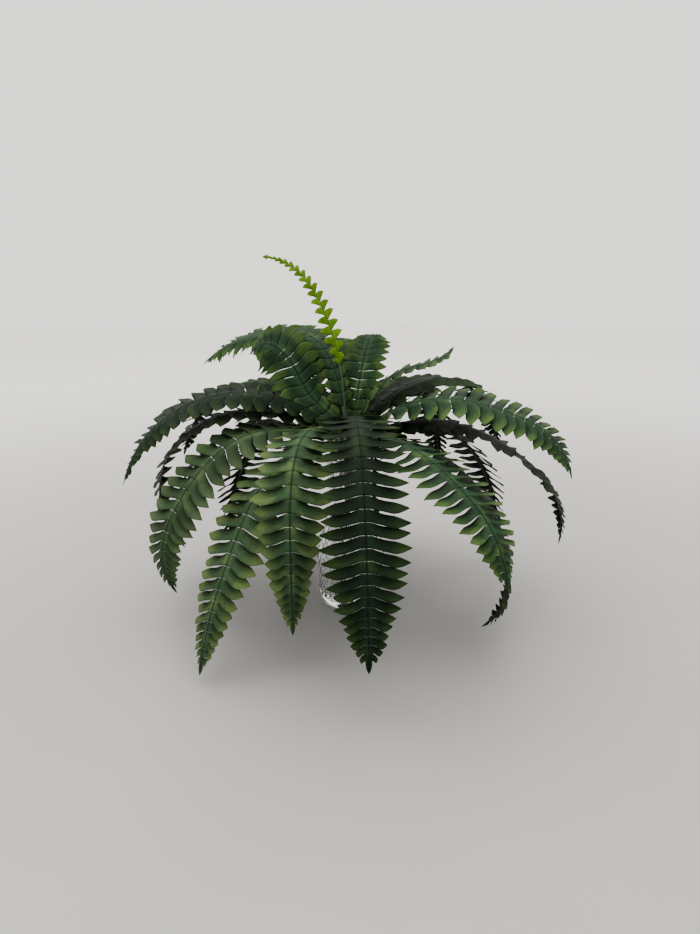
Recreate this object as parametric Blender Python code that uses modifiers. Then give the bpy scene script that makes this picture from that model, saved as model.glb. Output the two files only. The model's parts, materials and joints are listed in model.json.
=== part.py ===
"""Potted fern: an artificial Boston fern bush standing in a clear pressed-glass vase.

Twenty-six arching fronds spring from one moulded crown. Each frond is a plastic stalk, which
runs on as the rib, and a fabric blade whose leaflets are cut in from both edges. The crown
sits on a wire-cored stem that stands on the thick floor of the vase.

Metres, +Z up. The origin is the centre of the vase's foot, on the surface it stands on. +X is
the right-hand side and -Y the front.
"""

import math
from collections import namedtuple

import bmesh
import bpy
from mathutils import Vector

# Driving dimensions
GAP = 0.0003                    # clearance between pieces that touch

VASE_HEIGHT = 0.195
VASE_BELLY_RADIUS = 0.045
VASE_FOOT_RADIUS = 0.040
VASE_NECK_RADIUS = 0.0285
VASE_MOUTH_RADIUS = 0.031
VASE_WALL = 0.0035
VASE_FLOOR = 0.014              # thickness of the solid base
VASE_STEPS = 36

CROWN_CENTRE = Vector((-0.003, 0.0, 0.212))
CROWN_RADIUS = 0.016
STEM_FOOT_RADIUS = 0.0035
STEM_TOP_RADIUS = 0.0055

STALK_RADIUS = 0.0014           # at the crown
RIB_TIP_RADIUS = 0.0006
RIB_END = 0.97                  # share of a frond's length where its rib stops
BLADE_THICKNESS = 0.0006
BLADE_HALF_WIDTH = 0.043
WEB_HALF_WIDTH = 0.0045         # uncut strip on each side of the rib
LEAFLET_SWEEP = 0.007           # how far a leaflet's tip leans toward the frond's tip
BLADE_BAYS = 8                  # straight bays of the rib under the blade
SUBSTEPS = 8                    # integration steps in each bay

TONES = {
    "dark": (0.035, 0.085, 0.035),
    "mid": (0.060, 0.130, 0.045),
    "light": (0.120, 0.190, 0.070),
    "grey": (0.090, 0.130, 0.080),
    "lime": (0.190, 0.350, 0.030),
}

# heading: degrees from +X toward +Y, at the crown and at the tip
# rise: degrees above level at five equal steps along the frond
# roll: degrees that the blade turns about its rib, at the crown and at the tip
# taper: share of the blade over which it narrows to its tip
# bare: share of the length, next to the crown, that has no leaflets
Frond = namedtuple("Frond", "name heading rise length tone width roll taper bare",
                   defaults=(1.0, (0, 0), 0.36, 0.10))

FRONDS = (
    # upright fronds at the top of the crown
    Frond("top_upright", (180, 180), (86, 83, 72, 54, 5), 0.246, "lime", width=0.28,
          roll=(-75, -60), taper=0.75, bare=0.34),
    Frond("top_left", (116, 166), (75, 58, 4, -14, -42), 0.328, "mid", roll=(-5, -25), bare=0.27),
    Frond("top_front_left", (174, 142), (61, 42, 62, 26, -45), 0.178, "mid", width=0.9,
          roll=(-48, -55), bare=0.24),
    Frond("top_rear_left", (102, 114), (60, 54, 10, -42, -70), 0.300, "mid", bare=0.2),
    Frond("top_rear", (58, 80), (64, 69, 60, 38, -4), 0.156, "mid", width=0.74, taper=0.32,
          bare=0.22),
    Frond("top_right", (6, 12), (66, 60, 32, 12, 42), 0.170, "mid", width=0.5, bare=0.38),
    # upper ring
    Frond("upper_right", (-12, -12), (44, 20, -10, -28, -76), 0.305, "mid", roll=(10, 25)),
    Frond("upper_right_rear", (26, 42), (52, 24, -10, -44, -72), 0.320, "dark"),
    Frond("upper_rear_right", (55, 60), (40, 20, -20, -55, -80), 0.340, "dark"),
    Frond("upper_rear_left", (125, 130), (38, 18, -20, -55, -80), 0.340, "dark"),
    Frond("upper_left_rear", (152, 152), (38, 28, -14, -45, -70), 0.320, "mid"),
    Frond("upper_left", (182, 180), (47, 18, -12, -42, -73), 0.335, "dark", roll=(-10, -20)),
    # middle ring
    Frond("middle_right", (0, 0), (28, 0, -28, -50, -98), 0.350, "dark"),
    Frond("middle_front", (-86, -86), (40, 10, -35, -65, -80), 0.400, "dark", taper=0.28),
    Frond("middle_front_left", (-122, -72), (35, 0, -50, -80, -90), 0.328, "light", taper=0.48),
    Frond("middle_left_front", (204, 206), (24, 0, -42, -65, -118), 0.340, "grey", roll=(-5, -35)),
    Frond("middle_left", (181, 181), (36, 6, -30, -80, -128), 0.365, "dark"),
    Frond("middle_rear", (90, 88), (28, 5, -35, -65, -85), 0.350, "dark"),
    # lower ring
    Frond("lower_front_right", (-57, -57), (25, 0, -18, -33, -80), 0.310, "mid"),
    Frond("lower_right_front", (-33, -33), (18, -12, -48, -80, -135), 0.355, "dark", roll=(-10, -20)),
    Frond("lower_front_left", (-130, -122), (14, -15, -50, -60, -75), 0.345, "light", taper=0.45),
    Frond("lower_left_rear", (165, 165), (20, -2, -40, -70, -85), 0.350, "dark"),
    Frond("lower_rear_left", (138, 138), (10, -10, -42, -70, -88), 0.350, "dark"),
    Frond("lower_rear", (112, 112), (10, -8, -45, -72, -90), 0.350, "dark"),
    Frond("lower_rear_right", (81, 81), (10, -6, -45, -72, -90), 0.350, "dark"),
    Frond("lower_right_rear", (30, 30), (14, -4, -38, -66, -85), 0.350, "dark"),
)

Station = namedtuple("Station", "point along across up share")


def clear_scene():
    for item in list(bpy.data.objects):
        bpy.data.objects.remove(item, do_unlink=True)


def make_material(name, colour, roughness, metallic=0.0, alpha=1.0):
    material = bpy.data.materials.new(name)
    material.use_nodes = True
    shader = material.node_tree.nodes["Principled BSDF"]
    shader.inputs["Base Color"].default_value = (*colour, 1.0)
    shader.inputs["Roughness"].default_value = roughness
    shader.inputs["Metallic"].default_value = metallic
    shader.inputs["Alpha"].default_value = alpha
    return material


def link(item, collection, parent, material):
    collection.objects.link(item)
    item.parent = parent
    item.data.materials.append(material)
    return item


def smooth_value(values, share):
    """Catmull-Rom curve through equally spaced values."""
    last = len(values) - 1
    place = min(max(share, 0.0), 1.0) * last
    k = min(int(place), last - 1)
    f = place - k
    ends = [2 * values[0] - values[1], *values, 2 * values[-1] - values[-2]]
    a, b, c, d = ends[k:k + 4]
    return 0.5 * (2 * b + (c - a) * f + (2 * a - 5 * b + 4 * c - d) * f ** 2
                  + (3 * b - a - 3 * c + d) * f ** 3)


def blend(pair, share):
    return pair[0] + (pair[1] - pair[0]) * share


def frame_at(frond, share):
    """Unit vectors along the frond, across its blade and out of its upper face."""
    rise = math.radians(smooth_value(frond.rise, share))
    heading = math.radians(blend(frond.heading, share))
    roll = math.radians(blend(frond.roll, share))
    along = Vector((math.cos(rise) * math.cos(heading), math.cos(rise) * math.sin(heading),
                    math.sin(rise)))
    level = Vector((-math.sin(heading), math.cos(heading), 0.0))
    across = level * math.cos(roll) + along.cross(level) * math.sin(roll)
    return along, across, along.cross(across)


def frond_stations(frond):
    """The frond's course from the crown to its tip, as straight bays between stations."""
    shares = [0.0, 0.5 * frond.bare]
    bay = (RIB_END - frond.bare) / BLADE_BAYS
    shares += [frond.bare + bay * k for k in range(BLADE_BAYS + 1)]
    shares.append(1.0)
    frame = frame_at(frond, 0.0)
    point = CROWN_CENTRE + frame[0] * CROWN_RADIUS
    stations = [Station(point, *frame, 0.0)]
    for start, end in zip(shares, shares[1:]):
        step = (end - start) / SUBSTEPS
        for k in range(SUBSTEPS):
            point = point + frame_at(frond, start + step * (k + 0.5))[0] * (step * frond.length)
        stations.append(Station(point, *frame_at(frond, end), end))
    return stations


def rib_radius(share):
    return blend((STALK_RADIUS, RIB_TIP_RADIUS), share)


def half_width(frond, share):
    """Half the blade's width: narrow at its base, then even, then tapering to the tip."""
    place = (share - frond.bare) / (1.0 - frond.bare)
    opening = min(1.0, 0.3 + 2.2 * place)
    narrowing = min(1.0, (1.0 - place) / frond.taper) ** 0.7
    return BLADE_HALF_WIDTH * frond.width * opening * narrowing


def web_half_width(frond, share):
    return WEB_HALF_WIDTH * frond.width * blend((1.0, 0.3), share)


def make_stalk(frond, collection, parent, material):
    """Round tapering stalk that carries on as the rib under the blade."""
    name = "stalk_" + frond.name
    curve = bpy.data.curves.new(name, "CURVE")
    curve.dimensions = "3D"
    curve.bevel_depth = 1.0
    curve.bevel_resolution = 1
    curve.use_fill_caps = True
    stations = frond_stations(frond)[:-1]
    spline = curve.splines.new("POLY")
    spline.points.add(len(stations) - 1)
    for target, station in zip(spline.points, stations):
        target.co = (*station.point, 1.0)
        target.radius = rib_radius(station.share)
    return link(bpy.data.objects.new(name, curve), collection, parent, material)


def blade_point(stations, place, side, offset):
    """A point of the blade: place counts stations, offset is the distance from the rib."""
    k = min(int(place), len(stations) - 2)
    f = place - k
    corners = []
    for station in stations[k:k + 2]:
        lift = rib_radius(station.share) + GAP + 0.5 * BLADE_THICKNESS
        corners.append(station.point + station.up * lift + station.across * (side * offset))
    return corners[0].lerp(corners[1], f)


def make_blade(frond, collection, parent, material):
    """Fabric blade: a narrow web over the rib, cut into leaflets along both edges."""
    name = "blade_" + frond.name
    stations = frond_stations(frond)[2:]
    bay_length = frond.length * (RIB_END - frond.bare) / BLADE_BAYS
    sweep = LEAFLET_SWEEP * frond.width / bay_length
    mesh = bmesh.new()
    edges = {}
    for side in (-1, 1):
        edges[side] = []
        for k in range(2 * BLADE_BAYS + 1):
            share = blend((frond.bare, RIB_END), 0.5 * k / BLADE_BAYS)
            web = blade_point(stations, 0.5 * k, side, web_half_width(frond, share))
            edges[side].append(mesh.verts.new(web))
    for k in range(2 * BLADE_BAYS):
        mesh.faces.new((edges[-1][k], edges[-1][k + 1], edges[1][k + 1], edges[1][k]))
    for side in (-1, 1):
        for k in range(2 * BLADE_BAYS):
            share = blend((frond.bare, RIB_END), 0.5 * (k + 0.5) / BLADE_BAYS)
            web = web_half_width(frond, share)
            reach = max(half_width(frond, share), 1.6 * web)
            middle = 0.5 * (k + 0.55)
            shoulder = mesh.verts.new(blade_point(
                stations, middle + 0.17 + 0.4 * sweep, side, blend((web, reach), 0.55)))
            tip = mesh.verts.new(blade_point(stations, middle + sweep, side, reach))
            leaflet = [edges[side][k], edges[side][k + 1], shoulder, tip]
            mesh.faces.new(leaflet if side < 0 else leaflet[::-1])
    end = mesh.verts.new(blade_point(stations, BLADE_BAYS + 1, 1, 0.0))
    mesh.faces.new((edges[-1][-1], end, edges[1][-1]))
    bmesh.ops.recalc_face_normals(mesh, faces=mesh.faces)
    data = bpy.data.meshes.new(name)
    mesh.to_mesh(data)
    mesh.free()
    item = link(bpy.data.objects.new(name, data), collection, parent, material)
    thickness = item.modifiers.new("Fabric thickness", "SOLIDIFY")
    thickness.thickness = BLADE_THICKNESS
    thickness.offset = 0.0
    return item


def vase_profile():
    """Half section of the vase, from the middle of its floor out to the middle of its foot."""
    belly = VASE_BELLY_RADIUS
    neck = VASE_NECK_RADIUS
    outside = [
        (VASE_MOUTH_RADIUS, VASE_HEIGHT),
        (neck + 0.0005, 0.180),
        (neck, 0.160),
        (neck + 0.0005, 0.140),
        (0.030, 0.126),
        (0.034, 0.110),
        (0.0405, 0.088),
        (belly, 0.072),
        (belly, 0.066),
        (0.0420, 0.042),
        (0.0412, 0.022),
        (VASE_FOOT_RADIUS, 0.010),
        (0.0385, 0.005),
        (0.0360, 0.002),
        (0.0325, 0.000),
    ]
    top = 10
    inside = [(radius - VASE_WALL, height) for radius, height in outside[:top]]
    inside += [(0.0375, 0.026), (0.0350, VASE_FLOOR + 0.004), (0.0290, VASE_FLOOR)]
    rim = (VASE_MOUTH_RADIUS - 0.5 * VASE_WALL, VASE_HEIGHT + 0.0008)
    return [(0.0, VASE_FLOOR), *inside[::-1], rim, *outside, (0.0, 0.0)]


def make_vase(collection, parent, material):
    """Turned glass wall with a thick base, open at the mouth."""
    data = bpy.data.meshes.new("vase")
    points = [(radius, 0.0, height) for radius, height in vase_profile()]
    data.from_pydata(points, [(k, k + 1) for k in range(len(points) - 1)], [])
    item = link(bpy.data.objects.new("vase", data), collection, parent, material)
    turn = item.modifiers.new("Turn", "SCREW")
    turn.steps = VASE_STEPS
    turn.render_steps = VASE_STEPS
    turn.use_merge_vertices = True
    turn.merge_threshold = 0.0001
    return item


def make_crown(collection, parent, material):
    """Moulded knob that every stalk plugs into."""
    bpy.ops.mesh.primitive_uv_sphere_add(segments=20, ring_count=10,
                                         radius=CROWN_RADIUS - GAP, location=CROWN_CENTRE)
    item = bpy.context.object
    item.name = "crown"
    for owner in list(item.users_collection):
        owner.objects.unlink(item)
    item.data.shade_smooth()
    return link(item, collection, parent, material)


def make_stem(collection, parent, material):
    """Stem that stands on the floor of the vase and carries the crown."""
    foot = VASE_FLOOR + GAP
    top = CROWN_CENTRE.z - CROWN_RADIUS
    bpy.ops.mesh.primitive_cone_add(
        vertices=16, radius1=STEM_FOOT_RADIUS, radius2=STEM_TOP_RADIUS, depth=top - foot,
        location=(CROWN_CENTRE.x, CROWN_CENTRE.y, 0.5 * (foot + top)))
    item = bpy.context.object
    item.name = "stem"
    for owner in list(item.users_collection):
        owner.objects.unlink(item)
    item.data.shade_smooth()
    item.data.set_sharp_from_angle(angle=math.radians(40))
    return link(item, collection, parent, material)


def main():
    clear_scene()
    collection = bpy.data.collections.new("potted_fern")
    bpy.context.scene.collection.children.link(collection)
    root = bpy.data.objects.new("potted_fern_root", None)
    collection.objects.link(root)

    glass = make_material("clear_glass", (0.90, 0.94, 0.93), 0.05, alpha=0.35)
    plastic = make_material("stalk_plastic", (0.060, 0.110, 0.040), 0.45)
    core = make_material("stem_plastic", (0.045, 0.090, 0.035), 0.50)
    fabrics = {tone: make_material("fabric_" + tone, colour, 0.80)
               for tone, colour in TONES.items()}

    make_vase(collection, root, glass)
    make_stem(collection, root, core)
    make_crown(collection, root, core)
    for frond in FRONDS:
        make_stalk(frond, collection, root, plastic)
        make_blade(frond, collection, root, fabrics[frond.tone])


main()
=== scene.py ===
"""Looks of the potted fern: an artificial Boston fern bush in a clear pressed-glass vase.

Every frond's fabric blade and moulded rib is rebuilt on the course that its CAD solid follows.
The crown gets its sockets, the stem its moulded ridges and the vase its pressed diamonds.
"""

import json
import math
import random
from collections import namedtuple

import bmesh
import bpy
import numpy as np
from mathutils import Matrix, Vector

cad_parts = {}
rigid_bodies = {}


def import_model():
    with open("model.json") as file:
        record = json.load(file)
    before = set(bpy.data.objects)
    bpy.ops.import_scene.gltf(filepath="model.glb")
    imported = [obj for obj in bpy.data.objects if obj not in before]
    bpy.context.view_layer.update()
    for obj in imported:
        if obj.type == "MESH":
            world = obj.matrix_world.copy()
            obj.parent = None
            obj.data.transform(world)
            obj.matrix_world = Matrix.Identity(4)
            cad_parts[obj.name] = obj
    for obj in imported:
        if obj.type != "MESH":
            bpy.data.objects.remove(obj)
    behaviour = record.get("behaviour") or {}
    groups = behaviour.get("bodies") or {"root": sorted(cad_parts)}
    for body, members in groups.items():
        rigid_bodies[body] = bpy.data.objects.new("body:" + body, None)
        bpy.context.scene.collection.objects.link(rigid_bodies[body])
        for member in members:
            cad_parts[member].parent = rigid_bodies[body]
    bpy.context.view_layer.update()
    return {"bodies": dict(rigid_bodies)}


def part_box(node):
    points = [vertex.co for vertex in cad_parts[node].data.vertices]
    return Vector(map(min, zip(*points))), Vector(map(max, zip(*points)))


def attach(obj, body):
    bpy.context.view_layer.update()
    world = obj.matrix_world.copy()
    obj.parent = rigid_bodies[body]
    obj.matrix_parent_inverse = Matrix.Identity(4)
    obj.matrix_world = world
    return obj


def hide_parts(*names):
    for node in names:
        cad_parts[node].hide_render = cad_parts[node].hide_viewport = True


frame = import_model()

# Sizes read from the frame
CROWN_LOW, CROWN_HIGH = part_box("crown")
CROWN_CENTRE = 0.5 * (CROWN_LOW + CROWN_HIGH)
GAP = 0.0003
CROWN_RADIUS = 0.5 * (CROWN_HIGH.z - CROWN_LOW.z) + GAP
STEM_LOW, STEM_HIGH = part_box("stem")
VASE_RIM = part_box("vase")[1].z

# Ribs and blades, in metres
STALK_RADIUS = 0.0014
RIB_TIP_RADIUS = 0.0005
CROWDING = 0.48                 # how much closer the leaflets stand toward the tip
BLADE_END = 0.985               # share of a frond's length where the last leaflets are cut
BLADE_HALF_WIDTH = 0.043
WEB_HALF_WIDTH = 0.0050         # uncut strip on each side of the rib
NARROW = 0.4                    # a frond narrower than this has small leaflets set alternately
NARROW_REACH = 1.18             # and they reach a little past its outline
LEAF_START = 0.35               # share of a bare stalk that its first leaflets cover
FABRIC = 0.00045                # thickness of the fabric
COURSE_STEPS = 240
LEAFLET_COLUMNS = 6
WEB_ROWS = (0.0, 0.22, 0.5, 1.0)
LEAFLET_ROWS = 11

# heading: degrees from +X toward +Y, at the crown and at the tip
# rise: degrees above level at five equal steps along the frond
# roll: degrees that the blade turns about its rib, at the crown and at the tip
# taper: share of the blade over which it narrows to its tip
# bare: share of the length, next to the crown, that has no leaflets
Frond = namedtuple("Frond", "name heading rise length tone width roll taper bare",
                   defaults=(1.0, (0, 0), 0.36, 0.10))

FRONDS = (
    # upright fronds at the top of the crown
    Frond("top_upright", (180, 180), (86, 83, 72, 54, 5), 0.246, "lime", width=0.28,
          roll=(-75, -60), taper=0.75, bare=0.34),
    Frond("top_left", (116, 166), (75, 58, 4, -14, -42), 0.328, "mid", roll=(-5, -25), bare=0.27),
    Frond("top_front_left", (174, 142), (61, 42, 62, 26, -45), 0.178, "mid", width=0.9,
          roll=(-48, -55), bare=0.24),
    Frond("top_rear_left", (102, 114), (60, 54, 10, -42, -70), 0.300, "mid", bare=0.2),
    Frond("top_rear", (58, 80), (64, 69, 60, 38, -4), 0.156, "mid", width=0.74, taper=0.32,
          bare=0.22),
    Frond("top_right", (6, 12), (66, 60, 32, 12, 42), 0.170, "mid", width=0.5, bare=0.38),
    # upper ring
    Frond("upper_right", (-12, -12), (44, 20, -10, -28, -76), 0.305, "mid", roll=(10, 25)),
    Frond("upper_right_rear", (26, 42), (52, 24, -10, -44, -72), 0.320, "dark"),
    Frond("upper_rear_right", (55, 60), (40, 20, -20, -55, -80), 0.340, "dark"),
    Frond("upper_rear_left", (125, 130), (38, 18, -20, -55, -80), 0.340, "dark"),
    Frond("upper_left_rear", (152, 152), (38, 28, -14, -45, -70), 0.320, "mid"),
    Frond("upper_left", (182, 180), (47, 18, -12, -42, -73), 0.335, "dark", roll=(-10, -20)),
    # middle ring
    Frond("middle_right", (0, 0), (28, 0, -28, -50, -98), 0.350, "dark"),
    Frond("middle_front", (-86, -86), (40, 10, -35, -65, -80), 0.400, "dark", taper=0.28),
    Frond("middle_front_left", (-122, -72), (35, 0, -50, -80, -90), 0.328, "light", taper=0.48),
    Frond("middle_left_front", (204, 206), (24, 0, -42, -65, -118), 0.340, "grey", roll=(-5, -35)),
    Frond("middle_left", (181, 181), (36, 6, -30, -80, -128), 0.365, "dark"),
    Frond("middle_rear", (90, 88), (28, 5, -35, -65, -85), 0.350, "dark"),
    # lower ring
    Frond("lower_front_right", (-57, -57), (25, 0, -18, -33, -80), 0.310, "mid"),
    Frond("lower_right_front", (-33, -33), (18, -12, -48, -80, -135), 0.355, "dark", roll=(-10, -20)),
    Frond("lower_front_left", (-130, -122), (14, -15, -50, -60, -75), 0.345, "light", taper=0.45),
    Frond("lower_left_rear", (165, 165), (20, -2, -40, -70, -85), 0.350, "dark"),
    Frond("lower_rear_left", (138, 138), (10, -10, -42, -70, -88), 0.350, "dark"),
    Frond("lower_rear", (112, 112), (10, -8, -45, -72, -90), 0.350, "dark"),
    Frond("lower_rear_right", (81, 81), (10, -6, -45, -72, -90), 0.350, "dark"),
    Frond("lower_right_rear", (30, 30), (14, -4, -38, -66, -85), 0.350, "dark"),
)

# How each tone is coloured: printed beside the rib and at the leaflets' ends, and a dark colour for
# the veins, the rib line and the painted shade in the folds and under each neighbouring leaflet
Print = namedtuple("Print", "centre ends fold")
TONES = {
    "dark": Print((0.0035, 0.010, 0.004), (0.013, 0.028, 0.006), (0.001, 0.003, 0.001)),
    "mid": Print((0.011, 0.030, 0.012), (0.049, 0.092, 0.021), (0.002, 0.007, 0.003)),
    "light": Print((0.022, 0.046, 0.020), (0.075, 0.114, 0.032), (0.004, 0.011, 0.004)),
    "grey": Print((0.020, 0.040, 0.016), (0.050, 0.078, 0.032), (0.006, 0.013, 0.005)),
    "lime": Print((0.080, 0.170, 0.004), (0.150, 0.270, 0.007), (0.040, 0.090, 0.002)),
}

# pitch: distance from one leaflet to the next along the rib
# pleat: how far a leaflet's tip-side edge stands above its neighbour
# cut: share of the pitch lost to the slit between two leaflets
# droop: how far a leaflet's end hangs below the rib
# point: share of a leaflet's reach where its sides start to run together
# sweep: how far a leaflet's end leans toward the frond's tip
Habit = namedtuple("Habit", "pitch pleat cut droop point sweep")
HABITS = {
    "middle_front": Habit(0.0132, 0.0014, 0.07, 0.0015, 0.55, 0.0036),
    "middle_left_front": Habit(0.0150, 0.0022, 0.08, 0.004, 0.56, 0.0055),
    "top_upright": Habit(0.0098, 0.0004, 0.34, 0.000, 0.34, 0.0060),
    "top_left": Habit(0.0114, 0.0020, 0.20, 0.007, 0.38, 0.0060),
    "top_front_left": Habit(0.0112, 0.0020, 0.04, 0.003, 0.56, 0.0036),
    "top_rear": Habit(0.0098, 0.0016, 0.06, 0.002, 0.54, 0.0026),
    "top_rear_left": Habit(0.0114, 0.0020, 0.10, 0.004, 0.46, 0.0050),
}
USUAL_HABIT = Habit(0.0142, 0.0030, 0.03, 0.005, 0.63, 0.0038)


# ---------------------------------------------------------------- node helpers

def new_material(name):
    material = bpy.data.materials.new(name)
    material.use_nodes = True
    tree = material.node_tree
    return material, tree, tree.nodes["Principled BSDF"]


def socket_of(tree, value, target):
    """Links value to target if it is a socket, or else sets it as the target's own value."""
    if isinstance(value, bpy.types.NodeSocket):
        tree.links.new(value, target)
    else:
        target.default_value = value


def maths(tree, operation, a, b=0.0):
    node = tree.nodes.new("ShaderNodeMath")
    node.operation = operation
    socket_of(tree, a, node.inputs[0])
    socket_of(tree, b, node.inputs[1])
    return node.outputs[0]


def ramp(tree, value, low, high, out_low=0.0, out_high=1.0):
    """Smooth step from out_low at low to out_high at high."""
    node = tree.nodes.new("ShaderNodeMapRange")
    node.interpolation_type = "SMOOTHSTEP"
    socket_of(tree, value, node.inputs["Value"])
    node.inputs["From Min"].default_value = low
    node.inputs["From Max"].default_value = high
    node.inputs["To Min"].default_value = out_low
    node.inputs["To Max"].default_value = out_high
    return node.outputs["Result"]


def mix_colours(tree, share, first, second, kind="MIX"):
    node = tree.nodes.new("ShaderNodeMix")
    node.data_type = "RGBA"
    node.blend_type = kind
    socket_of(tree, share, node.inputs["Factor"])
    for value, target in ((first, node.inputs["A"]), (second, node.inputs["B"])):
        if isinstance(value, tuple) and len(value) == 3:
            value = (*value, 1.0)
        socket_of(tree, value, target)
    return node.outputs["Result"]


def noise(tree, scale, detail=3.0, vector=None, stretch=None):
    """Noise over the object's own coordinates, or over a vector; stretch scales each axis."""
    if vector is None:
        vector = tree.nodes.new("ShaderNodeTexCoord").outputs["Object"]
    if stretch is not None:
        mapping = tree.nodes.new("ShaderNodeMapping")
        mapping.inputs["Scale"].default_value = stretch
        tree.links.new(vector, mapping.inputs["Vector"])
        vector = mapping.outputs["Vector"]
    node = tree.nodes.new("ShaderNodeTexNoise")
    node.inputs["Scale"].default_value = scale
    node.inputs["Detail"].default_value = detail
    tree.links.new(vector, node.inputs["Vector"])
    return node.outputs["Fac"]


def bump(tree, height, distance, strength=1.0, normal=None):
    node = tree.nodes.new("ShaderNodeBump")
    node.inputs["Strength"].default_value = strength
    node.inputs["Distance"].default_value = distance
    tree.links.new(height, node.inputs["Height"])
    if normal is not None:
        tree.links.new(normal, node.inputs["Normal"])
    return node.outputs["Normal"]


# ------------------------------------------------------------------- materials

def fabric_material(tone):
    """Printed polyester leaf: coloured from rib to leaflet ends, with pressed veins and a weave, and
    with painted shade under each neighbouring leaflet and in each leaflet's middle fold.
    """
    colours = TONES[tone]
    material, tree, shader = new_material("leaf_fabric_" + tone)
    leaf = tree.nodes.new("ShaderNodeAttribute")
    leaf.attribute_name = "leaf"
    split = tree.nodes.new("ShaderNodeSeparateXYZ")
    tree.links.new(leaf.outputs["Vector"], split.inputs["Vector"])
    reach, across, chance = split.outputs
    rib = tree.nodes.new("ShaderNodeAttribute")
    rib.attribute_name = "rib"
    rib_distance = rib.outputs["Fac"]

    patches = noise(tree, 45.0, 4.0)
    mottle = noise(tree, 260.0, 3.0)
    edge = maths(tree, "ABSOLUTE", maths(tree, "SUBTRACT", across, 0.5))
    shifted = maths(tree, "ADD", reach, maths(tree, "MULTIPLY", patches, 0.5))
    colour = mix_colours(tree, ramp(tree, shifted, 0.62, 1.22), colours.centre, colours.ends)

    highlights = maths(tree, "MULTIPLY", ramp(tree, patches, 0.50, 0.68), 0.55)
    colour = mix_colours(tree, highlights, colour, colours.ends)

    # painted shade: the half of each leaflet nearer the crown, which lies under its neighbour's edge,
    # is darkened, fading toward the end
    shade = maths(tree, "MULTIPLY", ramp(tree, across, 0.60, 0.10), ramp(tree, reach, 1.05, 0.45))
    shade = maths(tree, "MULTIPLY", shade, ramp(tree, reach, 0.08, 0.24))
    colour = mix_colours(tree, maths(tree, "MULTIPLY", shade, 0.70), colour, colours.fold)

    # fine veins run along each leaflet, and a darker line up its middle: the pressed mid-vein, with
    # painted shade in the crease where the leaflet folds
    wander = maths(tree, "MULTIPLY", patches, 9.0)
    phase = maths(tree, "ADD", maths(tree, "MULTIPLY", across, 46.0), wander)
    veins = maths(tree, "ADD", maths(tree, "MULTIPLY", maths(tree, "SINE", phase), 0.5), 0.5)
    on_leaflet = ramp(tree, reach, 0.10, 0.22)
    veins = maths(tree, "MULTIPLY", veins, on_leaflet)
    colour = mix_colours(tree, maths(tree, "MULTIPLY", veins, 0.36), colour, colours.fold)
    # painted shade in each leaflet's middle fold, over its pressed mid-vein
    middle = maths(tree, "MULTIPLY", ramp(tree, edge, 0.035, 0.0), on_leaflet)
    middle = maths(tree, "MULTIPLY", middle, ramp(tree, reach, 0.95, 0.5))
    colour = mix_colours(tree, maths(tree, "MULTIPLY", middle, 0.55), colour, colours.fold)

    # dark line over the rib, cut edges slightly paler, and each leaflet a little different
    colour = mix_colours(tree, ramp(tree, rib_distance, 0.16, 0.05, 0.0, 0.8), colour,
                         colours.fold)
    frayed = maths(tree, "MULTIPLY", ramp(tree, edge, 0.465, 0.5), on_leaflet)
    colour = mix_colours(tree, maths(tree, "MULTIPLY", frayed, 0.30), colour, colours.ends)
    tint = tree.nodes.new("ShaderNodeHueSaturation")
    tree.links.new(colour, tint.inputs["Color"])
    brightness = maths(tree, "ADD", maths(tree, "MULTIPLY", chance, 0.55), 0.62)
    brightness = maths(tree, "ADD", brightness, maths(tree, "MULTIPLY", mottle, 0.30))
    tree.links.new(brightness, tint.inputs["Value"])
    tree.links.new(tint.outputs["Color"], shader.inputs["Base Color"])

    rough = maths(tree, "ADD", maths(tree, "MULTIPLY", mottle, 0.20), 0.46)
    tree.links.new(rough, shader.inputs["Roughness"])
    shader.inputs["Specular IOR Level"].default_value = 0.05

    weave_u = maths(tree, "SINE", maths(tree, "MULTIPLY", across, 190.0))
    weave_v = maths(tree, "SINE", maths(tree, "MULTIPLY", reach, 620.0))
    weave = maths(tree, "MULTIPLY", weave_u, weave_v)
    relief = bump(tree, weave, 0.00004, 0.5)
    relief = bump(tree, veins, 0.00030, 0.8, relief)
    relief = bump(tree, maths(tree, "SUBTRACT", 1.0, middle), 0.0003, 0.9, relief)
    tree.links.new(relief, shader.inputs["Normal"])
    return material


def plastic_material(name, dark, pale, roughness, streaks):
    """Moulded polythene: a cloudy tint with drawn-out streaks, scuffs and a soft gloss."""
    material, tree, shader = new_material(name)
    cloud = noise(tree, 60.0, 4.0)
    drawn = noise(tree, 90.0, 3.0, stretch=streaks)
    colour = mix_colours(tree, ramp(tree, cloud, 0.3, 0.7), dark, pale)
    colour = mix_colours(tree, ramp(tree, drawn, 0.45, 0.75, 0.0, 0.5), colour, dark)
    tree.links.new(colour, shader.inputs["Base Color"])
    scuffs = noise(tree, 700.0, 2.0)
    rough = maths(tree, "ADD", maths(tree, "MULTIPLY", scuffs, 0.25), roughness)
    tree.links.new(rough, shader.inputs["Roughness"])
    relief = bump(tree, drawn, 0.0003, 0.6)
    relief = bump(tree, scuffs, 0.00005, 0.5, relief)
    tree.links.new(relief, shader.inputs["Normal"])
    return material


def glass_material():
    """Clear pressed glass: faintly green, with a film of dust and mould ripples."""
    material, tree, shader = new_material("pressed_glass")
    ripple = noise(tree, 55.0, 2.0)
    dust = noise(tree, 420.0, 4.0)
    tint = mix_colours(tree, ramp(tree, ripple, 0.2, 0.8), (0.93, 0.975, 0.965),
                       (0.975, 0.99, 0.985))
    tree.links.new(tint, shader.inputs["Base Color"])
    tree.links.new(ramp(tree, dust, 0.40, 0.80, 0.06, 0.16), shader.inputs["Roughness"])
    shader.inputs["IOR"].default_value = 1.50
    shader.inputs["Transmission Weight"].default_value = 1.0
    tree.links.new(bump(tree, ripple, 0.0006, 0.35), shader.inputs["Normal"])
    return material


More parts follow.
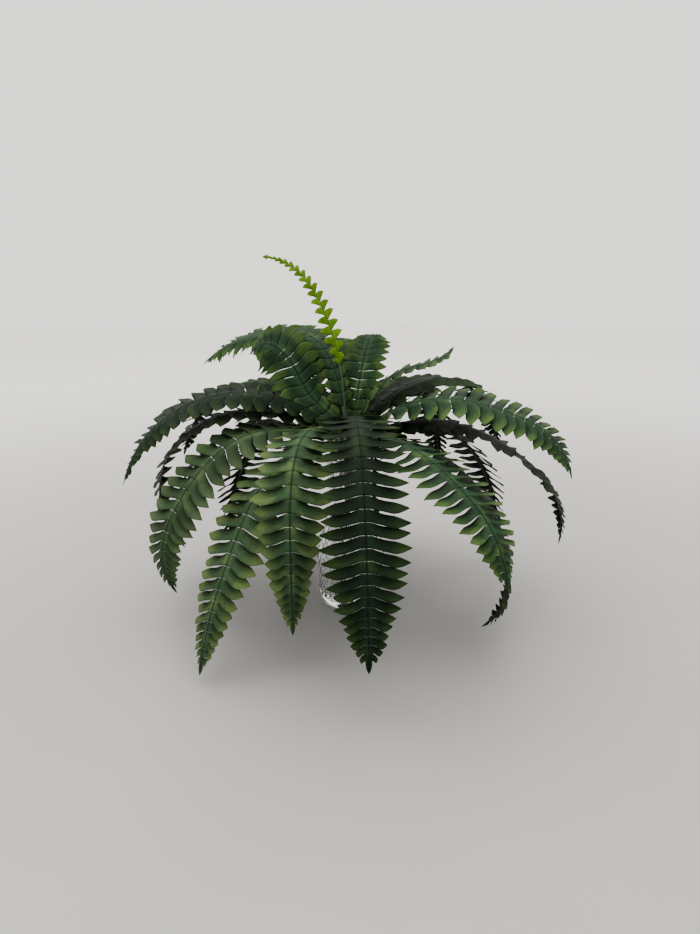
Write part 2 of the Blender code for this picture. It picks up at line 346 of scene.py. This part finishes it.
def floor_material():
    """Pale tabletop, a little darker around the plant, with faint cloudiness."""
    material, tree, shader = new_material("pale_table")
    place = tree.nodes.new("ShaderNodeTexCoord").outputs["Object"]
    length = tree.nodes.new("ShaderNodeVectorMath")
    length.operation = "LENGTH"
    tree.links.new(place, length.inputs[0])
    far = ramp(tree, length.outputs["Value"], 0.15, 2.6)
    colour = mix_colours(tree, far, (0.27, 0.265, 0.255), (0.95, 0.94, 0.92))
    cloud = noise(tree, 3.0, 4.0)
    colour = mix_colours(tree, maths(tree, "MULTIPLY", cloud, 0.12), colour, (0.86, 0.85, 0.83))
    tree.links.new(colour, shader.inputs["Base Color"])
    shader.inputs["Roughness"].default_value = 0.45
    return material


# ------------------------------------------------------------------ the fronds

def smooth_value(values, share):
    """Catmull-Rom curve through equally spaced values, at an array of shares."""
    last = len(values) - 1
    place = np.clip(share, 0.0, 1.0) * last
    k = np.minimum(place.astype(int), last - 1)
    f = place - k
    ends = np.array([2 * values[0] - values[1], *values, 2 * values[-1] - values[-2]], float)
    a, b, c, d = ends[k], ends[k + 1], ends[k + 2], ends[k + 3]
    return 0.5 * (2 * b + (c - a) * f + (2 * a - 5 * b + 4 * c - d) * f ** 2
                  + (3 * b - a - 3 * c + d) * f ** 3)


def blend(pair, share):
    return pair[0] + (pair[1] - pair[0]) * share


def smoothstep(value, low, high):
    t = np.clip((value - low) / (high - low), 0.0, 1.0)
    return t * t * (3.0 - 2.0 * t)


def unit_frames(frond, share):
    """Unit vectors along a frond, across its blade and out of its upper face."""
    rise = np.radians(smooth_value(frond.rise, share))
    heading = np.radians(blend(frond.heading, share))
    roll = np.radians(blend(frond.roll, share))[:, None]
    along = np.stack([np.cos(rise) * np.cos(heading), np.cos(rise) * np.sin(heading),
                      np.sin(rise)], axis=1)
    level = np.stack([-np.sin(heading), np.cos(heading), 0.0 * heading], axis=1)
    across = level * np.cos(roll) + np.cross(along, level) * np.sin(roll)
    return along, across, np.cross(along, across)


class Course:
    """A frond's line in space, with a point and a frame for any share of its length."""

    def __init__(self, frond):
        self.shares = np.linspace(0.0, 1.0, COURSE_STEPS + 1)
        middles = 0.5 * (self.shares[1:] + self.shares[:-1])
        self.along, self.across, self.up = unit_frames(frond, self.shares)
        start = np.array(CROWN_CENTRE) + self.along[0] * CROWN_RADIUS
        steps = unit_frames(frond, middles)[0] * (frond.length / COURSE_STEPS)
        self.points = np.vstack([start, start + np.cumsum(steps, axis=0)])
        self.length = frond.length

    def read(self, table, share):
        beyond = np.asarray(share)
        return np.stack([np.interp(beyond, self.shares, table[:, axis])
                         for axis in range(3)], axis=-1)

    def at(self, share):
        """Point, across and up; past the tip the course carries on straight."""
        point = self.read(self.points, share)
        extra = np.maximum(np.asarray(share) - 1.0, 0.0)[..., None] * self.length
        point = point + self.along[-1] * extra
        return point, self.read(self.across, share), self.read(self.up, share)


def rib_radius(share):
    return blend((STALK_RADIUS, RIB_TIP_RADIUS), np.minimum(share, 1.0))


def half_width(frond, share):
    place = (share - frond.bare) / (1.0 - frond.bare)
    opening = min(1.0, max(0.42, 0.46 + 2.6 * place))
    narrowing = min(1.0, (1.0 - place) / frond.taper) ** 0.7
    return BLADE_HALF_WIDTH * frond.width * opening * narrowing


def mesh_object(name, vertices, faces, material, smooth=True):
    data = bpy.data.meshes.new(name)
    data.from_pydata(vertices, [], faces)
    data.validate()
    item = bpy.data.objects.new(name, data)
    bpy.context.scene.collection.objects.link(item)
    data.materials.append(material)
    if smooth:
        data.shade_smooth()
    return item


def leaf_start(frond):
    """Share of the frond where its leaflets begin; a narrow frond's stalk stays bare."""
    return frond.bare if frond.width < NARROW else LEAF_START * frond.bare


def leaflet_bounds(frond, count):
    """Shares of the frond where its slits lie, closer together toward the tip."""
    place = np.linspace(0.0, 1.0, count + 1)
    place = (1.0 + CROWDING) * place - CROWDING * place ** 2
    return blend((leaf_start(frond), BLADE_END), place)


def leaflet(course, frond, habit, start, end, side, chance):
    """One leaflet and its piece of web: points, and the values that its print and its painted shade
    are laid by.
    """
    middle = 0.5 * (start + end)
    reach = half_width(frond, middle) * chance.uniform(0.94, 1.05)
    reach *= NARROW_REACH if frond.width < NARROW else 1.0
    web = min(WEB_HALF_WIDTH * max(frond.width, 0.32), 0.5 * reach)
    half_pitch = 0.5 * (end - start)
    size = frond.width * min(1.0, reach / (0.6 * BLADE_HALF_WIDTH * frond.width))
    sweep = habit.sweep * size * (1.0 + 0.9 * middle) / frond.length
    lean = math.radians(chance.uniform(-3.5, 3.5))
    droop = habit.droop * size * chance.uniform(0.5, 1.5)
    pleat = habit.pleat * size * chance.uniform(0.6, 1.5)
    curl = chance.uniform(-0.0022, 0.0022) * size
    wave = chance.uniform(0.0, 2.0 * math.pi)

    cuts = np.linspace(0.0, 1.0, LEAFLET_ROWS + 1)[1:] ** 0.86
    offsets = np.concatenate([np.array(WEB_ROWS) * web, web + (reach - web) * cuts])
    x = np.clip((offsets - web) / (reach - web), 0.0, 1.0)[:, None]
    w = offsets[:, None]
    v = np.linspace(-1.0, 1.0, LEAFLET_COLUMNS + 1)[None, :]

    slit = 1.0 - habit.cut * smoothstep(x, 0.0, 0.40)
    belly = 0.97 + 0.10 * smoothstep(x, 0.15, 0.65)
    point = 1.0 - np.clip((x - habit.point) / (1.0 - habit.point), 0.0, 1.0) ** 1.55
    breadth = slit * belly * point
    shift = sweep * np.sin(0.5 * math.pi * np.minimum(1.0, 1.25 * x))
    shift = shift + math.tan(lean) * (w - web) * (x > 0) / frond.length
    share = middle + shift + v * half_pitch * breadth
    w = w + 0.0 * v

    ridge = rib_radius(share) * (0.35 + 0.75 * np.exp(-(w / (2.0 * STALK_RADIUS)) ** 2))
    free = smoothstep(x, 0.0, 0.35)
    lift = ridge + GAP
    lift = lift - droop * (w / reach) ** 2
    lift = lift + pleat * v * breadth * free
    lift = lift - 0.0012 * size * (1.0 - np.abs(v)) * free * point
    lift = lift + curl * x ** 3
    lift = lift + 0.0005 * size * np.sin(7.0 * x + 2.0 * v + wave) * free
    points, across, up = course.at(share)
    points = points + across * (side * w)[..., None] + up * lift[..., None]

    data = np.zeros(share.shape + (4,))
    data[..., 0] = w / reach
    data[..., 1] = 0.5 + 0.5 * v
    data[..., 2] = chance.random()
    data[..., 3] = np.clip(w / 0.01, 0.0, 1.0)
    return points, data


def add_grid(mesh, layers, points, data, flip):
    """Adds a grid of points as faces; each vertex keeps its printing values."""
    rows, columns = points.shape[:2]
    corners = [[mesh.verts.new(points[i, j]) for j in range(columns)] for i in range(rows)]
    for i in range(rows):
        for j in range(columns):
            corners[i][j][layers[0]] = data[i, j, :3]
            corners[i][j][layers[1]] = data[i, j, 3]
    for i in range(rows - 1):
        for j in range(columns - 1):
            face = [corners[i][j], corners[i][j + 1], corners[i + 1][j + 1], corners[i + 1][j]]
            mesh.faces.new(face[::-1] if flip else face)


def end_leaflet(course, frond, side):
    """Half of the pointed leaflet that ends the blade."""
    start = BLADE_END
    length = 0.012 * max(frond.width, 0.5) / frond.length
    x = np.linspace(0.0, 1.0, 7)[:, None]
    v = np.linspace(0.0, 1.0, 4)[None, :]
    breadth = max(half_width(frond, start) * 0.5, 0.0028) * (1.0 - x ** 1.6) * (1.0 + 0.6 * x)
    share = start + length * x + 0.0 * v
    w = breadth * v
    ridge = rib_radius(share) * (0.35 + 0.75 * np.exp(-(w / (2.0 * STALK_RADIUS)) ** 2))
    points, across, up = course.at(share)
    points = points + across * (side * w)[..., None] + up * (ridge + GAP)[..., None]
    data = np.zeros(share.shape + (4,))
    data[..., 0] = 0.3 + 0.5 * x + 0.0 * v
    data[..., 1] = 0.5 + 0.5 * v + 0.0 * x
    data[..., 2] = 0.4
    data[..., 3] = np.clip(w / 0.01, 0.0, 1.0)
    return points, data


def make_blade(frond, course, material):
    """Fabric blade: leaflets cut in from both edges of one pressed piece, as a closed sheet."""
    chance = random.Random("blade " + frond.name)
    habit = HABITS.get(frond.name, USUAL_HABIT)
    mesh = bmesh.new()
    layers = (mesh.verts.layers.float_vector.new("leaf"), mesh.verts.layers.float.new("rib"))
    count = round(frond.length * (BLADE_END - leaf_start(frond)) / habit.pitch)
    slits = leaflet_bounds(frond, count)
    for side in (-1, 1):
        cuts = slits
        if frond.width < NARROW and side > 0:
            between = 0.5 * (slits[1:] + slits[:-1])
            cuts = np.concatenate([slits[:1], between, slits[-1:]])
        for start, end in zip(cuts, cuts[1:]):
            points, data = leaflet(course, frond, habit, start, end, side, chance)
            add_grid(mesh, layers, points, data, side > 0)
        points, data = end_leaflet(course, frond, side)
        add_grid(mesh, layers, points, data, side < 0)
    bmesh.ops.remove_doubles(mesh, verts=mesh.verts, dist=0.00002)
    name = "leaf_" + frond.name
    data = bpy.data.meshes.new(name)
    mesh.to_mesh(data)
    mesh.free()
    data.materials.append(material)
    data.shade_smooth()
    item = bpy.data.objects.new(name, data)
    bpy.context.scene.collection.objects.link(item)
    thickness = item.modifiers.new("Fabric thickness", "SOLIDIFY")
    thickness.thickness = FABRIC
    thickness.offset = 1.0
    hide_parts("blade_" + frond.name)
    return item


def sweep_tube(name, points, sides, ups, radii, material, corners=12):
    """Closed tube through points, round, with a flat cap at each end."""
    turn = np.arange(corners) * 2.0 * math.pi / corners
    rings = []
    for point, side, up, radius in zip(points, sides, ups, radii):
        ring = point + radius * (np.cos(turn)[:, None] * side + np.sin(turn)[:, None] * up)
        rings.append(ring)
    vertices = [tuple(p) for ring in rings for p in ring]
    faces = []
    for k in range(len(rings) - 1):
        for j in range(corners):
            n = (j + 1) % corners
            faces.append((k * corners + j, k * corners + n,
                          (k + 1) * corners + n, (k + 1) * corners + j))
    faces.append(tuple(range(corners))[::-1])
    last = (len(rings) - 1) * corners
    faces.append(tuple(range(last, last + corners)))
    return mesh_object(name, vertices, faces, material)


def make_rib(frond, course, material):
    """Moulded stalk and rib, with the small scars and knuckles that the mould leaves."""
    chance = random.Random("rib " + frond.name)
    share = np.concatenate([np.linspace(0.0, frond.bare, 30),
                            np.linspace(frond.bare, 1.012, 80)[1:]])
    points, across, up = course.at(share)
    radii = rib_radius(share)
    for _ in range(5):
        place = chance.uniform(0.01, 0.9 * frond.bare)
        radii = radii + 0.00028 * np.exp(-((share - place) * frond.length / 0.0011) ** 2)
    collar = 0.0008 * np.exp(-(share * frond.length / 0.0022) ** 2)
    radii = radii + collar
    radii[-1] *= 0.35
    radii[-2] *= 0.8
    item = sweep_tube("rib_" + frond.name, points, across, up, radii, material)
    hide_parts("stalk_" + frond.name)
    return item


# ------------------------------------------------------------- crown and stem

def make_crown(courses, material):
    """Moulded knob with a socket round each stalk, fused into one skin."""
    mesh = bmesh.new()
    bmesh.ops.create_icosphere(mesh, subdivisions=4, radius=CROWN_RADIUS - 2 * GAP)
    for vertex in mesh.verts:
        dents = math.sin(9.0 * math.atan2(vertex.co.y, vertex.co.x)) * 0.0003
        vertex.co *= 1.0 + dents / CROWN_RADIUS
    bmesh.ops.translate(mesh, verts=mesh.verts, vec=CROWN_CENTRE)
    for course in courses:
        direction = Vector(course.along[0])
        turn = direction.to_track_quat("Z", "Y").to_matrix().to_4x4()
        turn.translation = CROWN_CENTRE + direction * (CROWN_RADIUS - 0.0015)
        bmesh.ops.create_cone(mesh, cap_ends=True, segments=16, radius1=0.0032,
                              radius2=0.0022, depth=0.007, matrix=turn)
    data = bpy.data.meshes.new("fern_crown")
    mesh.to_mesh(data)
    mesh.free()
    item = bpy.data.objects.new("fern_crown", data)
    bpy.context.scene.collection.objects.link(item)
    data.materials.append(material)
    fuse = item.modifiers.new("Fuse", "REMESH")
    fuse.mode = "VOXEL"
    fuse.voxel_size = 0.00055
    fuse.use_smooth_shade = True
    soften = item.modifiers.new("Soften", "SMOOTH")
    soften.iterations = 4
    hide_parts("crown")
    return item


def make_stem(material):
    """Plastic-covered wire stem with lengthwise ribs and the scars of moulded bark."""
    steps = 140
    corners = 30
    low, high = STEM_LOW, STEM_HIGH
    centre = 0.5 * (low + high)
    top_radius = 0.5 * (high.x - low.x)
    foot_radius = 0.64 * top_radius
    vertices = []
    for k in range(steps + 1):
        share = k / steps
        height = low.z + (high.z - low.z) * share
        base = foot_radius + (top_radius - foot_radius) * share
        scar = sum(0.00035 * math.exp(-((height - place) / 0.0009) ** 2)
                   for place in (0.034, 0.058, 0.079, 0.103, 0.124, 0.147, 0.168))
        for j in range(corners):
            angle = 2.0 * math.pi * j / corners
            ribs = 0.00022 * math.cos(7.0 * angle + 9.0 * share)
            radius = base - 0.0005 + ribs + scar
            vertices.append((centre.x + radius * math.cos(angle),
                             centre.y + radius * math.sin(angle), height))
    faces = []
    for k in range(steps):
        for j in range(corners):
            n = (j + 1) % corners
            faces.append((k * corners + j, k * corners + n,
                          (k + 1) * corners + n, (k + 1) * corners + j))
    faces.append(tuple(range(corners))[::-1])
    faces.append(tuple(range(steps * corners, (steps + 1) * corners)))
    item = mesh_object("fern_stem", vertices, faces, material)
    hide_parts("stem")
    return item


# -------------------------------------------------------------------- the vase

DIAMONDS = 30                   # diamonds around the belly
CELL = 4                        # mesh steps across half a diamond
HALF_ROWS = 20                  # half diamonds from the foot band to the shoulder
PATTERN_LOW = 0.010
PATTERN_HIGH = 0.118
DIAMOND_DEPTH = 0.0010
NECK_PANELS = 12
OUTLINE = (
    (0.0000, 0.0325), (0.0012, 0.0355), (0.0035, 0.0380), (0.0070, 0.0396), (0.0120, 0.0405),
    (0.0260, 0.0413), (0.0420, 0.0420), (0.0560, 0.0436), (0.0690, 0.0450), (0.0790, 0.0436),
    (0.0900, 0.0396), (0.1020, 0.0356), (0.1120, 0.0332), (0.1240, 0.0305), (0.1380, 0.0291),
    (0.1600, 0.0285), (0.1780, 0.0289), (0.1880, 0.0299), (0.1950, 0.0310),
)
WALL = 0.0036
LIP_RISE = 0.0019               # height of the rounded lip
FLOOR_HEIGHT = 0.014


def outline_radius(height):
    """Smooth curve through the outline's points."""
    heights = [h for h, _ in OUTLINE]
    radii = [r for _, r in OUTLINE]
    k = int(np.clip(np.searchsorted(heights, height) - 1, 0, len(heights) - 2))
    h0, h1 = heights[k], heights[k + 1]
    slopes = []
    for m in (k, k + 1):
        a, b = max(m - 1, 0), min(m + 1, len(heights) - 1)
        slopes.append((radii[b] - radii[a]) / (heights[b] - heights[a]))
    t = (height - h0) / (h1 - h0)
    span = h1 - h0
    return ((2 * t ** 3 - 3 * t ** 2 + 1) * radii[k] + (t ** 3 - 2 * t ** 2 + t) * span * slopes[0]
            + (3 * t ** 2 - 2 * t ** 3) * radii[k + 1] + (t ** 3 - t ** 2) * span * slopes[1])


def diamond_relief(j, row):
    """Depth of the pressed surface below the outline: four-sided points between grooves."""
    period = 2 * CELL
    first = ((j + row) % period) / period
    second = ((j - row) % period) / period
    return DIAMOND_DEPTH * max(abs(2 * first - 1), abs(2 * second - 1))


def make_vase(material):
    """Pressed-glass vase: thick base, diamond points to the shoulder, panelled neck, open mouth."""
    around = DIAMONDS * 2 * CELL
    turn = np.arange(around) * 2.0 * math.pi / around
    rows = HALF_ROWS * CELL
    rings = []

    def ring(height, radius):
        rings.append([(r * math.cos(a), r * math.sin(a), height)
                      for r, a in zip(np.broadcast_to(radius, around), turn)])

    # the smooth inside, from the floor up
    for share in (0.25, 0.5, 0.75, 0.92):
        ring(FLOOR_HEIGHT + 0.0010 * share ** 3, 0.0360 * share)
    for k in range(7):
        angle = 0.5 * math.pi * k / 6
        ring(FLOOR_HEIGHT + 0.0012 + 0.006 * (1 - math.cos(angle)), 0.0316 + 0.0058 * math.sin(angle))
    for height in np.linspace(0.024, 0.1925, 60):
        ring(height, outline_radius(height) - WALL)
    # the rounded lip
    lip = outline_radius(0.195) - 0.5 * WALL
    for k in range(9):
        angle = math.pi * (1.0 - k / 8)
        ring(VASE_RIM - LIP_RISE + LIP_RISE * math.sin(angle), lip + 0.5 * WALL * math.cos(angle))
    # the neck's panels, from the lip down
    for height in np.linspace(0.1905, PATTERN_HIGH + 0.0015, 44):
        fade = smoothstep(height, 0.187, 0.181) * smoothstep(height, 0.1195, 0.127)
        scallop = 0.0010 * np.abs(np.sin(0.5 * NECK_PANELS * turn)) ** 0.7
        ring(height, outline_radius(height) - fade * (0.0010 - scallop))
    # the diamonds
    first_row = len(rings)
    for row in range(rows, -1, -1):
        height = PATTERN_LOW + (PATTERN_HIGH - PATTERN_LOW) * row / rows
        edge = min(1.0, row / CELL, (rows - row) / CELL)
        relief = np.array([diamond_relief(j, row) for j in range(around)])
        ring(height, outline_radius(height) - relief * edge)
    last_row = len(rings) - 1
    # the plain foot band and the flat underside with its ring
    for height in np.linspace(0.0085, 0.0, 9):
        ring(height, outline_radius(height))
    for radius, height in ((0.0280, 0.0), (0.0262, 0.0006), (0.0235, 0.0012), (0.0120, 0.0014)):
        ring(height, radius)

    vertices = [p for one in rings for p in one]
    faces = []
    for k in range(len(rings) - 1):
        for j in range(around):
            n = (j + 1) % around
            quad = (k * around + j, (k + 1) * around + j, (k + 1) * around + n, k * around + n)
            if first_row <= k < last_row:
                row = rows - (k - first_row)
                if ((row - 1) // CELL + j // CELL) % 2:
                    faces += [(quad[0], quad[1], quad[2]), (quad[0], quad[2], quad[3])]
                else:
                    faces += [(quad[0], quad[1], quad[3]), (quad[1], quad[2], quad[3])]
            else:
                faces.append(quad)
    floor_centre = len(vertices)
    vertices += [(0.0, 0.0, FLOOR_HEIGHT), (0.0, 0.0, 0.0014)]
    last = (len(rings) - 1) * around
    for j in range(around):
        n = (j + 1) % around
        faces.append((floor_centre, j, n))
        faces.append((floor_centre + 1, last + n, last + j))
    item = mesh_object("glass_vase", vertices, faces, material)
    item.data.set_sharp_from_angle(angle=math.radians(17))
    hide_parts("vase")
    return item


# ------------------------------------------------------------------- the stage

def make_stage():
    bpy.ops.mesh.primitive_circle_add(vertices=96, radius=6.0, fill_type="NGON",
                                      location=(0.0, 0.0, 0.0))
    floor = bpy.context.object
    floor.name = "table_top"
    floor.data.materials.append(floor_material())


def area_light(name, place, aim, size, power, colour):
    data = bpy.data.lights.new(name, "AREA")
    data.size = size
    data.energy = power
    data.color = colour
    item = bpy.data.objects.new(name, data)
    item.location = place
    item.rotation_euler = (Vector(aim) - Vector(place)).to_track_quat("-Z", "Y").to_euler()
    bpy.context.scene.collection.objects.link(item)


def make_lights():
    area_light("ceiling", (-0.35, 0.15, 1.9), (0.0, 0.0, 0.2), 2.2, 50.0, (1.0, 0.985, 0.96))
    area_light("window", (0.9, -1.6, 1.3), (0.0, 0.0, 0.2), 1.2, 7.0, (0.95, 0.98, 1.0))
    world = bpy.data.worlds.new("studio")
    world.use_nodes = True
    background = world.node_tree.nodes["Background"]
    background.inputs["Color"].default_value = (0.79, 0.77, 0.74, 1.0)
    background.inputs["Strength"].default_value = 2.15
    bpy.context.scene.world = world


def make_camera():
    data = bpy.data.cameras.new("camera")
    data.lens = 26.2
    data.sensor_width = 36.0
    item = bpy.data.objects.new("camera", data)
    item.location = (0.0, -0.83, 0.4066)
    item.rotation_euler = (math.radians(74.8), 0.0, 0.0)
    bpy.context.scene.collection.objects.link(item)
    bpy.context.scene.camera = item


def main():
    make_camera()
    make_lights()
    make_stage()
    fabrics = {tone: fabric_material(tone) for tone in TONES}
    rib_plastic = plastic_material("rib_plastic", (0.008, 0.020, 0.006), (0.022, 0.044, 0.014),
                                   0.34, (1.0, 1.0, 1.0))
    stem_plastic = plastic_material("stem_plastic", (0.010, 0.022, 0.008), (0.030, 0.046, 0.018),
                                    0.42, (6.0, 6.0, 0.6))
    courses = [Course(frond) for frond in FRONDS]
    body = next(iter(frame["bodies"]))
    made = [make_vase(glass_material()), make_stem(stem_plastic), make_crown(courses, stem_plastic)]
    for frond, course in zip(FRONDS, courses):
        made.append(make_rib(frond, course, rib_plastic))
        made.append(make_blade(frond, course, fabrics[frond.tone]))
    for item in made:
        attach(item, body)


main()
